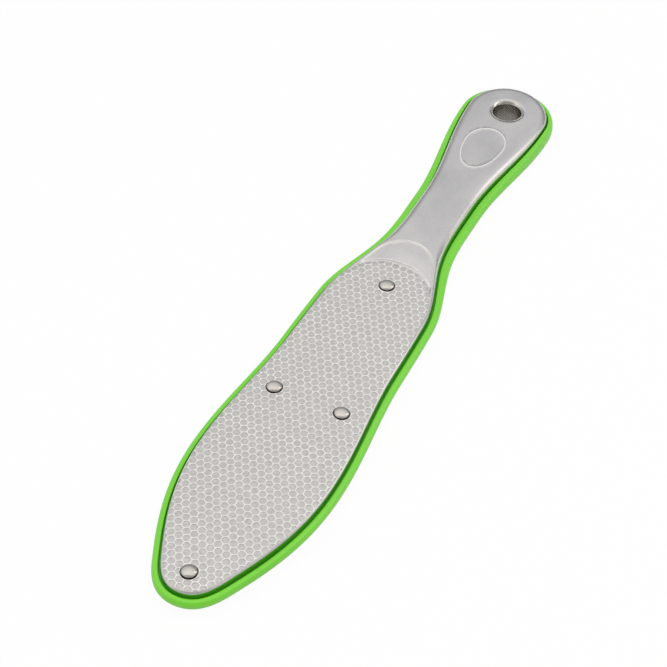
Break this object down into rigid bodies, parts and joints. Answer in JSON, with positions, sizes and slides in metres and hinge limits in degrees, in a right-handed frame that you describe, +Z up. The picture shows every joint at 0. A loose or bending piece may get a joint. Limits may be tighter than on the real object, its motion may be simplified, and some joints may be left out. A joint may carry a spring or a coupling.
{
  "type": "foot file",
  "caption": "Double-sided foot file: honeycomb steel file plates riveted on a long paddle with a steel-clad moulded handle and a hanging hole.",
  "frame": {"origin": "on the surface that the file lies on, under the middle of its length and width", "axes": "+Y along the tool towards the handle, +Z up out of the fine file plate, +X across the paddle"},
  "size_m": [0.0498, 0.2586, 0.0116],
  "materials": {
    "core_plastic": "smooth moulded, satin gloss",
    "shell_steel": "fine satin polish",
    "file_steel": "matt etched cells with bright ridges",
    "bright_steel": "polished"
  },
  "bodies": {
    "root": {"core_frame": "core_plastic", "front_shell": "shell_steel", "back_shell": "shell_steel", "fine_plate": "file_steel", "coarse_plate": "file_steel", "hang_eyelet": "bright_steel", "rivets": "bright_steel"}
  },
  "joints": []
}
